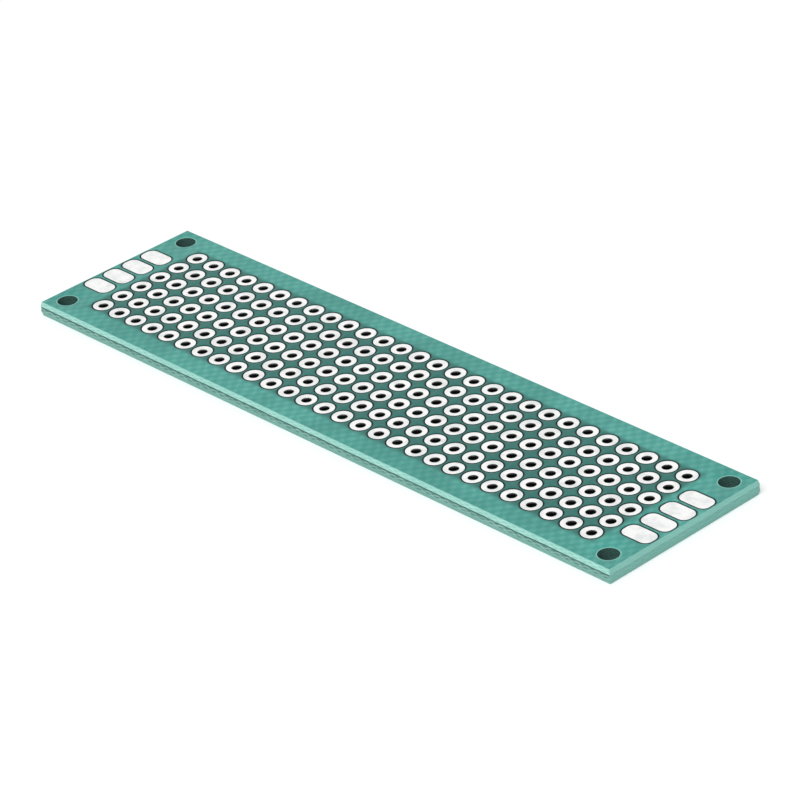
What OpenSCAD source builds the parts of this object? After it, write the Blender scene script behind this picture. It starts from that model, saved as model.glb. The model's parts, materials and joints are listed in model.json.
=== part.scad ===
// Prototype board: a narrow glass fibre circuit board with a grid of plated solder holes.
// It lies flat, long side along X. The origin is under its centre, where its pads touch the table.

/* [Board] */

// Length over the two snapped ends
board_l = 80; // [45:1:150]
// Width over the two snapped long edges
board_w = 20; // [13:1:36]
// Thickness of the bare glass fibre laminate
laminate_t = 1.5; // [1.2:0.1:2.4]

/* [Snapped edges] */

// Depth of the scoring groove cut from each face
score_depth = 0.5; // [0.2:0.05:0.55]
// Lean of each scored wall from upright, in degrees
score_angle = 15; // [8:1:22]

/* [Solder holes] */

// Distance between neighbouring hole centres, both ways
pitch = 2.54; // [2.5:0.01:3]
// Open diameter of a plated hole
hole_d = 1; // [0.7:0.05:1.2]
// Thickness of the metal that lines a drilled hole
plating_t = 0.05; // [0.03:0.01:0.1]
// Outer diameter of the tinned ring round a hole
ring_d = 2.1; // [1.7:0.05:2.2]
// Width of the worn slope at a ring's rim and at a hole's mouth
ring_slope = 0.06; // [0.02:0.01:0.1]
// Least bare width between the outer rings and a long edge
side_border = 2; // [1.6:0.1:2.6]

/* [Edge pads] */

// Length of an edge pad, across the end of the board
edge_pad_l = 3.5; // [2:0.1:4.2]
// Width of an edge pad, along the end of the board
edge_pad_w = 2; // [1.7:0.05:2.2]
// Corner radius of an edge pad
edge_pad_r = 0.8; // [0.2:0.05:0.8]
// Bare width between an edge pad and the end of the board
edge_pad_inset = 0.4; // [0.36:0.02:0.8]
// Least width between the outer rings and the edge pads or mounting holes beyond them
edge_pad_gap = 0.5; // [0.3:0.05:0.9]

/* [Layers] */

// Height of the tinned copper above the laminate
pad_t = 0.05; // [0.04:0.01:0.1]
// Thickness of the green solder mask
mask_t = 0.03; // [0.01:0.005:0.035]
// Bare ring of laminate left by the mask round each pad and hole
mask_gap = 0.12; // [0.04:0.01:0.13]

/* [Mounting holes] */

// Diameter of the bare hole in each corner
mount_hole_d = 2.1; // [1.6:0.1:2.6]
// Distance of its centre from the end and from the long edge
mount_inset = 2; // [1.8:0.1:2.5]

/* [Hidden] */

$fn = 32;
cut = 1;
score_run = score_depth * tan(score_angle);
drill_d = hole_d + 2 * plating_t;
laminate_z = pad_t;
laminate_top = laminate_z + laminate_t;
board_t = laminate_top + pad_t;
pad_reach = edge_pad_inset + edge_pad_l;
mount_reach = mount_inset + mount_hole_d / 2;
end_room = max(pad_reach, mount_reach) + edge_pad_gap + ring_d / 2;
side_room = side_border + ring_d / 2;
columns = floor((board_l - 2 * end_room) / pitch) + 1;
rows = floor((board_w - 2 * side_room) / pitch) + 1;
end_pads = rows - 2;
edge_pad_x = board_l / 2 - edge_pad_inset - edge_pad_l / 2;
mount_x = board_l / 2 - mount_inset;
mount_y = board_w / 2 - mount_inset;
FACES = ["top", "bottom"];
ENDS = ["left", "right"];

function column_x(column) = (column - (columns + 1) / 2) * pitch;
function row_y(row) = (row - (rows + 1) / 2) * pitch;
function row_name(row) = str("plated_holes_row_", row);
function pad_name(face, end, number) = str("edge_pad_", face, "_", end, "_", number);

// Section of the board across one pair of snapped edges, from its centre line at height 0.
// The grooves lean in from both faces and leave the web between them standing proud.
module scored_section(width) {
    half = width / 2;
    polygon([
        [-half + score_run, 0], [half - score_run, 0], [half, score_depth],
        [half, laminate_t - score_depth], [half - score_run, laminate_t],
        [-half + score_run, laminate_t], [-half, laminate_t - score_depth], [-half, score_depth]
    ]);
}

// The whole slab with its four snapped edges, whose corners mitre into each other.
module scored_slab() {
    intersection() {
        rotate([90, 0, 0])
            linear_extrude(board_w, center = true) scored_section(board_l);
        rotate([90, 0, 90])
            linear_extrude(board_l, center = true) scored_section(board_w);
    }
}

module at_mounting_holes() {
    for (x = [-mount_x, mount_x]) for (y = [-mount_y, mount_y]) translate([x, y]) children();
}

module at_solder_holes() {
    for (column = [1:columns]) for (row = [1:rows])
        translate([column_x(column), row_y(row)]) children();
}

module at_edge_pads() {
    for (x = [-edge_pad_x, edge_pad_x]) for (number = [1:end_pads])
        translate([x, row_y(number + 1)]) children();
}

// Outline of an edge pad, grown all round by the given amount.
module edge_pad_outline(grow = 0) {
    length = edge_pad_l + 2 * grow;
    width = edge_pad_w + 2 * grow;
    corner_r = edge_pad_r + grow;
    union() {
        square([length, width - 2 * corner_r], center = true);
        square([length - 2 * corner_r, width], center = true);
        for (x = [-1, 1]) for (y = [-1, 1])
            translate([x * (length / 2 - corner_r), y * (width / 2 - corner_r)]) circle(r = corner_r);
    }
}

// Outline of the mask on either face, open round every pad, ring and mounting hole.
module mask_outline() {
    difference() {
        square([board_l - 2 * score_run, board_w - 2 * score_run], center = true);
        at_solder_holes() circle(d = ring_d + 2 * mask_gap);
        at_edge_pads() edge_pad_outline(mask_gap);
        at_mounting_holes() circle(d = mount_hole_d + 2 * mask_gap);
    }
}

// Half section of one plated hole: a lining through the laminate that spreads into a ring on
// each face. The slopes leave half of the metal's height as a square step at the rim.
module plated_hole_section() {
    hole_r = hole_d / 2;
    ring_r = ring_d / 2;
    step = pad_t / 2;
    polygon([
        [hole_r, step], [hole_r + ring_slope, 0], [ring_r - ring_slope, 0], [ring_r, step],
        [ring_r, laminate_z], [drill_d / 2, laminate_z],
        [drill_d / 2, laminate_top], [ring_r, laminate_top],
        [ring_r, board_t - step], [ring_r - ring_slope, board_t],
        [hole_r + ring_slope, board_t], [hole_r, board_t - step]
    ]);
}

// The glass fibre board itself, drilled for the solder holes and the mounting holes.
module laminate() {
    color("darkseagreen") translate([0, 0, laminate_z])
        difference() {
            scored_slab();
            at_solder_holes() translate([0, 0, -cut]) cylinder(d = drill_d, h = laminate_t + 2 * cut);
            at_mounting_holes()
                translate([0, 0, -cut]) cylinder(d = mount_hole_d, h = laminate_t + 2 * cut);
        }
}

module solder_mask_top() {
    color("seagreen") translate([0, 0, laminate_top]) linear_extrude(mask_t) mask_outline();
}

module solder_mask_bottom() {
    color("seagreen") translate([0, 0, laminate_z - mask_t]) linear_extrude(mask_t) mask_outline();
}

// One row of plated holes. Row 1 is nearest to the front edge.
module plated_holes_row(row) {
    color("gainsboro")
        for (column = [1:columns])
            translate([column_x(column), row_y(row), 0]) rotate_extrude() plated_hole_section();
}

// One edge pad. Number 1 is nearest to the front edge, in line with the second row of holes.
module edge_pad(face, end, number) {
    x = end == "left" ? -edge_pad_x : edge_pad_x;
    z = face == "top" ? laminate_top : 0;
    color("gainsboro") translate([x, row_y(number + 1), z]) linear_extrude(pad_t) edge_pad_outline();
}

laminate();
solder_mask_top();
solder_mask_bottom();
for (row = [1:rows])
    plated_holes_row(row);
for (face = FACES) for (end = ENDS) for (number = [1:end_pads])
    edge_pad(face, end, number);
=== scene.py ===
"""Prototype board: the fine shapes and finishes of a narrow green solder board.

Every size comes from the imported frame, in metres. The laminate, the two mask films, the tinned
holes and the edge pads are surfaces worked out on grids, each standing for its CAD node.
"""
import json
import logging
import math
from dataclasses import dataclass, field
from enum import Enum
from typing import Any

import bpy
import numpy as np
from mathutils import Matrix, Vector


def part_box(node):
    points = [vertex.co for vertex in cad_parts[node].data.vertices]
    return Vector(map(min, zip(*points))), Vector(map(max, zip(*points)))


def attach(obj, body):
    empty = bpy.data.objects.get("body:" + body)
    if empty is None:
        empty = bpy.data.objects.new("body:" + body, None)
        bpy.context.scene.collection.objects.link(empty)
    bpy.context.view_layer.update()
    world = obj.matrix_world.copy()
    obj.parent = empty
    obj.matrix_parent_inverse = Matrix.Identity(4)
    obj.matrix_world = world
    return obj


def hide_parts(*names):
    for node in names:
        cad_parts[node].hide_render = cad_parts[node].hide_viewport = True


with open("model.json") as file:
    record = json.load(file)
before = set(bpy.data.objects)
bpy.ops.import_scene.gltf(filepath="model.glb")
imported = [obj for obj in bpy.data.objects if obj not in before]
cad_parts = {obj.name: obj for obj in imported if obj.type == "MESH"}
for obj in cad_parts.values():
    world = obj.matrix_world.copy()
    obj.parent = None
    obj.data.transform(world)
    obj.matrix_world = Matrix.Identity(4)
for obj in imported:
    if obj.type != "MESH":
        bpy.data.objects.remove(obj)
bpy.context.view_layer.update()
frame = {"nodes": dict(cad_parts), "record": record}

Array = np.ndarray
Colour = tuple[float, float, float, float]
Span = tuple[float, float]

LOG = logging.getLogger("prototype_board")
BODY = "root"
WHITE = (1.0, 1.0, 1.0, 1.0)
MM = 0.001
# Points of a mesh that lie closer than this become one
WELD = 1e-8
# CAD corners that lie closer than this are level with each other
LEVEL = 0.001 * MM
# Least part of a direction along an axis, which keeps it from a division by zero
LEAST_PART = 1e-12
# Share of a half size from which a point lies on the outline
ON_OUTLINE = 1 - 1e-9


class Face(Enum):
    """The two faces of the board."""

    TOP = "top"
    BOTTOM = "bottom"


class End(Enum):
    """The two ends of the board, with the side of the origin that each lies on."""

    LEFT = -1
    RIGHT = 1


class Side(Enum):
    """The two long sides of the board, with the side of the origin that each lies on."""

    FRONT = -1
    BACK = 1


def node_points(name: str) -> Array:
    """Corner points of a CAD node.

    Args:
        name: the node's name in the frame.

    Returns:
        One row of x, y, z for each corner, in metres.
    """
    mesh = frame["nodes"][name].data
    flat = np.empty(len(mesh.vertices) * 3, np.float32)
    mesh.vertices.foreach_get("co", flat)
    return flat.reshape(-1, 3).astype(float)


def least_radius(name: str, axis: Array, low: float = -math.inf, high: float = math.inf) -> float:
    """Least distance from an upright axis to a CAD node's corners between two heights.

    Args:
        name: the node's name in the frame.
        axis: x and y of the axis.
        low: lower height, which no corner counts below.
        high: upper height, which no corner counts above.

    Returns:
        The distance in metres.
    """
    points = node_points(name)
    level = points[(points[:, 2] > low) & (points[:, 2] < high)]
    return float(np.hypot(*(level[:, :2] - axis).T).min())


@dataclass(frozen=True)
class BoardSizes:
    """Measures of the board in metres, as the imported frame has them.

    The core is the laminate, and a face is what lies inside its scored bevels. The rings and the
    edge pads end at the top. The mask's gap is the bare laminate round a ring or an edge pad.
    """

    length: float
    width: float
    top: float
    core_low: float
    core_high: float
    score_depth: float
    face_length: float
    face_width: float
    mask_t: float
    mask_gap: float
    pitch: float
    columns: int
    rows: int
    hole_r: float
    drill_r: float
    ring_r: float
    mount_r: float
    mount_x: float
    mount_y: float
    pad_length: float
    pad_width: float
    pad_corner: float
    pad_x: float
    end_pads: int

    @classmethod
    def from_frame(cls) -> "BoardSizes":
        """Reads every measure from the nodes' boxes and corners and from the mounts.

        Returns:
            The measures.
        """
        core_low, core_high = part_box("laminate")
        face_low, face_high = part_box("solder_mask_top")
        row_low, row_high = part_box("plated_holes_row_1")
        next_low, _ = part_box("plated_holes_row_2")
        pad_low, pad_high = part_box("edge_pad_top_right_1")
        mounts = {m["name"]: m for m in frame["record"]["mounts"]}
        mount = mounts["mounting_holes"]["dims"]
        pitch = next_low.y - row_low.y
        ring_r = (row_high.y - row_low.y) / 2
        first_hole = np.array([row_low.x + ring_r, (row_low.y + row_high.y) / 2])
        laminate = node_points("laminate")
        end = laminate[laminate[:, 0] > core_high.x - LEVEL]
        pad = node_points("edge_pad_top_right_1")
        tip = pad[pad[:, 0] > pad_high.x - LEVEL]
        return cls(
            length=core_high.x - core_low.x,
            width=core_high.y - core_low.y,
            top=row_high.z,
            core_low=core_low.z,
            core_high=core_high.z,
            score_depth=float(end[:, 2].min()) - core_low.z,
            face_length=face_high.x - face_low.x,
            face_width=face_high.y - face_low.y,
            mask_t=face_high.z - face_low.z,
            mask_gap=least_radius("solder_mask_top", first_hole) - ring_r,
            pitch=pitch,
            columns=round((row_high.x - row_low.x - 2 * ring_r) / pitch) + 1,
            rows=sum(n.startswith("plated_holes_row_") for n in frame["nodes"]),
            hole_r=least_radius("plated_holes_row_1", first_hole),
            drill_r=least_radius("laminate", first_hole, core_low.z - LEVEL, core_low.z + LEVEL),
            ring_r=ring_r,
            mount_r=mount["hole_r_mm"] * MM,
            mount_x=mount["spacing_x_mm"] * MM / 2,
            mount_y=mount["spacing_y_mm"] * MM / 2,
            pad_length=pad_high.x - pad_low.x,
            pad_width=pad_high.y - pad_low.y,
            pad_corner=float(pad_high.y - tip[:, 1].max()),
            pad_x=(pad_low.x + pad_high.x) / 2,
            end_pads=sum(n.startswith("edge_pad_top_right_") for n in frame["nodes"]),
        )

    @property
    def middle(self) -> float:
        """Height of the plane halfway through the board."""
        return (self.core_low + self.core_high) / 2

    @property
    def half_core(self) -> float:
        """Half the thickness of the laminate."""
        return (self.core_high - self.core_low) / 2

    @property
    def half_web(self) -> float:
        """Half the height of the web that is left between the two scored grooves."""
        return self.half_core - self.score_depth

    @property
    def field_x(self) -> float:
        """Half length of the field of hole tiles."""
        return self.columns * self.pitch / 2

    @property
    def field_y(self) -> float:
        """Half width of the field of hole tiles."""
        return self.rows * self.pitch / 2

    def column_x(self, column: int | Array) -> float | Array:
        """Centre of a column of holes, counted from 0 at the left."""
        return (column - (self.columns - 1) / 2) * self.pitch

    def row_y(self, row: int | Array) -> float | Array:
        """Centre of a row of holes, counted from 0 at the front."""
        return (row - (self.rows - 1) / 2) * self.pitch

    def turned_over(self, points: Array) -> Array:
        """Points mirrored from one face to the other: z becomes twice the middle less z."""
        return points * (1, 1, -1) + (0, 0, 2 * self.middle)


def at_height(flat: Array, z: float) -> Array:
    """Gives points that have only x and y one height."""
    return np.column_stack([flat, np.full(len(flat), z)])


def full_turn(steps: int) -> Array:
    """Angles of evenly spaced points round a circle, from 0."""
    return np.arange(steps) / steps * 2 * math.pi


def border(xs: Array, ys: Array) -> Array:
    """Points round a rectangle, counter-clockwise from its lower left corner.

    Args:
        xs: rising x of the points along it.
        ys: rising y of the points across it.

    Returns:
        x and y of each point.
    """
    low_x, high_x = np.full(len(ys), xs[0]), np.full(len(ys), xs[-1])
    low_y, high_y = np.full(len(xs), ys[0]), np.full(len(xs), ys[-1])
    sides = [(xs, low_y), (high_x, ys), (xs[::-1], high_y), (low_x, ys[::-1])]
    return np.concatenate([np.stack(side, -1)[:-1] for side in sides])


def grid_faces(rows: int, columns: int, wrap: bool = False) -> Array:
    """Quads between the points of a grid that is stored row by row.

    Args:
        rows: number of rows of points.
        columns: number of points in a row.
        wrap: joins the last column to the first.

    Returns:
        One row of four point numbers for each quad.
    """
    row = np.arange(rows - 1)[:, None]
    column = np.arange(columns if wrap else columns - 1)[None, :]
    after = (column + 1) % columns
    low, high = row * columns, (row + 1) * columns
    return np.stack([low + column, high + column, high + after, low + after], -1).reshape(-1, 4)


@dataclass(frozen=True)
class Grain:
    """A grain of roughness on a grid: how far it is drawn out, its strength and its seed."""

    reach: tuple[float, float]
    strength: float
    seed: int

    def on(self, shape: tuple[int, int]) -> Array:
        """Random field that repeats both ways, with mean 0 and the grain's strength as spread.

        White noise is multiplied in frequency by exp(-(pi * f * reach)^2) for each axis, with
        reach in samples, down the rows and along the columns.

        Args:
            shape: rows and columns of the field.

        Returns:
            The field as an array of that shape.
        """
        white = np.random.default_rng(self.seed).standard_normal(shape)
        down = np.fft.fftfreq(shape[0])[:, None] * self.reach[0] * math.pi
        along = np.fft.rfftfreq(shape[1])[None, :] * self.reach[1] * math.pi
        kept = np.fft.irfft2(np.fft.rfft2(white) * np.exp(-(down**2) - along**2), s=shape)
        return self.strength * ((kept - kept.mean()) / kept.std())


class Shell:
    """Gathers patches of points and faces and welds them into one closed mesh."""

    def __init__(self, name: str) -> None:
        """Starts an empty shell.

        Args:
            name: name of the piece that it becomes.
        """
        self.name = name
        self.points: list[Array] = []
        self.tables: list[Array] = []
        self.count = 0

    def add(self, points: Array, faces: Array, flip: bool = False) -> None:
        """Adds one patch, or many copies of it.

        Args:
            points: x, y, z on the last axis. A leading axis before the points gives copies.
            faces: point numbers of each face of one copy, counter-clockwise seen from outside.
            flip: turns the faces over.
        """
        copies = points.reshape(-1, points.shape[-2], 3)
        shift = np.arange(len(copies))[:, None, None] * copies.shape[1] + self.count
        table = (faces[None] + shift).reshape(-1, faces.shape[1])
        self.tables.append(table[:, ::-1] if flip else table)
        self.points.append(copies.reshape(-1, 3))
        self.count += copies.shape[0] * copies.shape[1]

    def build(self, sharp_deg: float = 40.0) -> bpy.types.Object:
        """Welds the points that coincide and makes the object.

        Args:
            sharp_deg: an edge that bends more than this stays sharp in shading.

        Returns:
            The new object, at the origin.
        """
        points = np.concatenate(self.points)
        keys = np.round(points / WELD).astype(np.int64)
        _, first, number = np.unique(keys, axis=0, return_index=True, return_inverse=True)
        number = number.reshape(-1)
        corners = np.concatenate([number[table].ravel() for table in self.tables])
        widths = np.concatenate([np.full(len(t), t.shape[1]) for t in self.tables])
        starts = np.concatenate([[0], np.cumsum(widths)[:-1]])
        mesh = bpy.data.meshes.new(self.name)
        mesh.vertices.add(len(first))
        mesh.vertices.foreach_set("co", points[first].astype(np.float32).ravel())
        mesh.loops.add(len(corners))
        mesh.loops.foreach_set("vertex_index", corners.astype(np.int32))
        mesh.polygons.add(len(widths))
        mesh.polygons.foreach_set("loop_start", starts.astype(np.int32))
        mesh.polygons.foreach_set("use_smooth", np.ones(len(widths), bool))
        mesh.update(calc_edges=True)
        mesh.set_sharp_from_angle(angle=math.radians(sharp_deg))
        if mesh.validate(verbose=False):
            LOG.warning("%s: Blender mended its mesh", self.name)
        piece = bpy.data.objects.new(self.name, mesh)
        bpy.context.scene.collection.objects.link(piece)
        return piece


def place(piece: bpy.types.Object, finish: "Finish", slot: str, nodes: list[str]) -> None:
    """Dresses a finished piece and ties it to the frame.

    Args:
        piece: the piece, in its place.
        finish: what gives its material.
        slot: the record's material slot; not used.
        nodes: the CAD nodes that it stands for.
    """
    piece.data.materials.append(finish.material())
    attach(piece, BODY)
    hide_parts(*nodes)


@dataclass(frozen=True)
class Opening:
    """Outline of a hole in a face: a rectangle with round corners, or a circle."""

    half_x: float
    half_y: float
    corner: float

    @classmethod
    def circle(cls, radius: float) -> "Opening":
        """A round opening, which is all corner."""
        return cls(radius, radius, radius)

    def rim(self, towards: Array, grow: float = 0.0) -> Array:
        """Points where rays from the centre meet the outline.

        A ray meets a straight side where its x or y is the half size. Elsewhere it meets the
        corner's circle, at the larger root of |t d - k| = r with k the circle's centre.

        Args:
            towards: x and y of a point on each ray, from the opening's centre.
            grow: width by which the outline is grown all round.

        Returns:
            x and y of each point, from the opening's centre.
        """
        half_x, half_y, r = self.half_x + grow, self.half_y + grow, self.corner + grow
        way = towards / np.linalg.norm(towards, axis=-1, keepdims=True)
        ax, ay = np.maximum(np.abs(way), LEAST_PART).T
        kx, ky = half_x - r, half_y - r
        along = kx * ax + ky * ay
        root = np.sqrt(np.maximum(along**2 - kx * kx - ky * ky + r * r, 0))
        reach = along + root
        reach = np.where(half_x / ax * ay <= ky, half_x / ax, reach)
        reach = np.where(half_y / ay * ax <= kx, half_y / ay, reach)
        return way * reach[:, None]


@dataclass(frozen=True)
class Cell:
    """A rectangular tile of a face with an opening at its centre, and the places of its copies."""

    xs: Array
    ys: Array
    centre: tuple[float, float]
    opening: Opening
    copies: Array = field(default_factory=lambda: np.zeros((1, 2)))

    def rings(self, levels: list[tuple[float, float]], rim_z: float | None) -> tuple[Array, Array]:
        """Rings of points from the opening outwards.

        Ring k is the opening's outline grown by the k-th width, at the k-th height. The last
        ring is the tile's own outline.

        Args:
            levels: pairs of a width and a height, from the inside out.
            rim_z: height of the tile's outline, or None to leave that ring out.

        Returns:
            The points of every copy, and the faces of one, which face up.
        """
        outline = border(self.xs, self.ys)
        centre = np.array(self.centre)
        ways = outline - centre
        loops = [at_height(self.opening.rim(ways, grow) + centre, z) for grow, z in levels]
        if rim_z is not None:
            loops.append(at_height(outline, rim_z))
        moved = np.concatenate(loops)[None] + at_height(self.copies, 0.0)[:, None]
        return moved, grid_faces(len(loops), len(outline), wrap=True)


@dataclass(frozen=True)
class FacePlan:
    """Division of a face of the board into tiles that share their corners.

    The field of holes has one square tile a hole. Each end has a tile for every edge pad and,
    in its corners, one that reaches over the outer row and the margin to hold a mounting hole.
    """

    sizes: BoardSizes
    half_x: float
    half_y: float
    side_steps: int = 8
    end_steps: int = 10
    margin_steps: int = 7

    @property
    def hole_side(self) -> Array:
        """Points along a hole's tile from its centre, at even angles seen from the hole."""
        angle = np.linspace(-math.pi / 4, math.pi / 4, self.side_steps + 1)
        return np.tan(angle) * self.sizes.pitch / 2

    def end_xs(self, end: End) -> Array:
        """Points along the tiles of an end, in rising x."""
        return np.sort(np.linspace(self.sizes.field_x, self.half_x, self.end_steps + 1) * end.value)

    def margin_ys(self, side: Side) -> Array:
        """Points across the margin of a long side, in rising y."""
        return np.sort(np.linspace(self.sizes.field_y, self.half_y, self.margin_steps + 1) * side.value)

    def hole_cells(self, opening: Opening) -> list[Cell]:
        """The tiles of the field of holes, as one cell with many copies.

        Args:
            opening: the opening in each tile.

        Returns:
            A list of that one cell.
        """
        s = self.sizes
        column, row = np.meshgrid(np.arange(s.columns), np.arange(s.rows))
        copies = np.column_stack([s.column_x(column.ravel()), s.row_y(row.ravel())])
        return [Cell(self.hole_side, self.hole_side, (0.0, 0.0), opening, copies)]

    def pad_cells(self, opening: Opening) -> list[Cell]:
        """The tiles of the edge pads.

        Args:
            opening: the opening in each tile.

        Returns:
            One cell for each end, with a copy for every pad there.
        """
        s = self.sizes
        copies = np.array([[0.0, s.row_y(1 + k)] for k in range(s.end_pads)])
        return [
            Cell(self.end_xs(end), self.hole_side, (end.value * s.pad_x, 0.0), opening, copies)
            for end in End
        ]

    def corner_cells(self, opening: Opening) -> list[Cell]:
        """The four corner tiles, each with its mounting hole.

        Args:
            opening: the opening in each tile.

        Returns:
            One cell for each corner.
        """
        s = self.sizes
        cells = []
        for end in End:
            for side in Side:
                in_front = side is Side.FRONT
                margin = self.margin_ys(side)
                outer_row = s.row_y(0 if in_front else s.rows - 1) + self.hole_side
                near, far = (margin, outer_row) if in_front else (outer_row, margin)
                centre = (end.value * s.mount_x, side.value * s.mount_y)
                cells.append(Cell(self.end_xs(end), np.concatenate([near, far[1:]]), centre, opening))
        return cells

    def margin_patch(self, z: float) -> tuple[Array, Array]:
        """The plain tiles of the front and back margins, as a flat grid at one height.

        Args:
            z: the height.

        Returns:
            The points of every tile, and the faces of one, which face up.
        """
        s = self.sizes
        columns = s.column_x(np.arange(s.columns))
        shift = at_height(np.column_stack([columns, 0 * columns]), 0.0)
        tiles = []
        for side in Side:
            x, y = np.meshgrid(self.hole_side, self.margin_ys(side), indexing="ij")
            tile = at_height(np.column_stack([x.ravel(), y.ravel()]), z)
            tiles.append(tile[None] + shift[:, None])
        return np.concatenate(tiles), grid_faces(self.side_steps + 1, self.margin_steps + 1)

    def perimeter(self) -> Array:
        """Points round the plan, counter-clockwise from the front left corner, as shares.

        Returns:
            x and y of each point as shares of the half sizes, from -1 to 1.
        """
        s = self.sizes
        field_xs = [x + self.hole_side[:-1] for x in s.column_x(np.arange(s.columns))]
        field_ys = [y + self.hole_side[:-1] for y in s.row_y(np.arange(s.rows))]
        xs = np.concatenate([self.end_xs(End.LEFT)[:-1], *field_xs, self.end_xs(End.RIGHT)])
        ys = np.concatenate([self.margin_ys(Side.FRONT)[:-1], *field_ys, self.margin_ys(Side.BACK)])
        return border(xs / self.half_x, ys / self.half_y)


@dataclass(frozen=True)
class MaskFilm:
    """The green film on one face, open round every ring, pad and mounting hole.

    The lip is the width of an opening's rounded rim, which starts at a share of the film's height.
    """

    sizes: BoardSizes
    face: Face
    lip: float = 0.018 * MM
    lip_points: int = 3
    foot_share: float = 0.35

    def levels(self, low: float, high: float) -> list[tuple[float, float]]:
        """Section of an opening's lip: upright at the foot, then a quarter of an ellipse.

        Args:
            low: height of the film's underside.
            high: height of its surface.

        Returns:
            Pairs of the width outside the opening and the height.
        """
        turn = np.linspace(0, math.pi / 2, self.lip_points)
        foot = low + self.foot_share * (high - low)
        curve = [(self.lip * (1 - math.cos(t)), foot + (high - foot) * math.sin(t)) for t in turn]
        return [(0.0, low), *curve]

    def cells(self, plan: FacePlan) -> list[Cell]:
        """Tiles with the film's openings, each grown by the bare gap round what it lets through.

        Args:
            plan: the division of the face.

        Returns:
            The cells of the holes, the edge pads and the corners.
        """
        s = self.sizes
        gap = s.mask_gap
        pad = Opening(s.pad_length / 2 + gap, s.pad_width / 2 + gap, s.pad_corner + gap)
        holes = plan.hole_cells(Opening.circle(s.ring_r + gap))
        corners = plan.corner_cells(Opening.circle(s.mount_r + gap))
        return [*holes, *plan.pad_cells(pad), *corners]

    def add(self, shell: Shell, points: Array, faces: Array, flip: bool = False) -> None:
        """Adds a patch that was made for the top face, turned over where the film is below.

        Args:
            shell: the film's shell.
            points: x, y, z on the last axis.
            faces: point numbers of each face.
            flip: turns the faces over, before the patch itself is turned.
        """
        under = self.face is Face.BOTTOM
        placed = self.sizes.turned_over(points) if under else points
        shell.add(placed, faces, flip != under)

    def build(self, finish: "Finish") -> bpy.types.Object:
        """Makes the film, with its outer edge, in the place of its CAD node.

        Args:
            finish: what gives its material.

        Returns:
            The film.
        """
        s = self.sizes
        low, high = s.core_high, s.core_high + s.mask_t
        plan = FacePlan(s, s.face_length / 2, s.face_width / 2)
        shell = Shell(f"mask_film_{self.face.value}")
        for cell in self.cells(plan):
            self.add(shell, *cell.rings(self.levels(low, high), high))
            self.add(shell, *cell.rings([(0.0, low)], low), flip=True)
        self.add(shell, *plan.margin_patch(high))
        self.add(shell, *plan.margin_patch(low), flip=True)
        outline = plan.perimeter() * (plan.half_x, plan.half_y)
        wall = np.concatenate([at_height(outline, high), at_height(outline, low)])
        self.add(shell, wall, grid_faces(2, len(outline), wrap=True))
        piece = shell.build()
        place(piece, finish, "solder_mask", [f"solder_mask_{self.face.value}"])
        return piece


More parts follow.
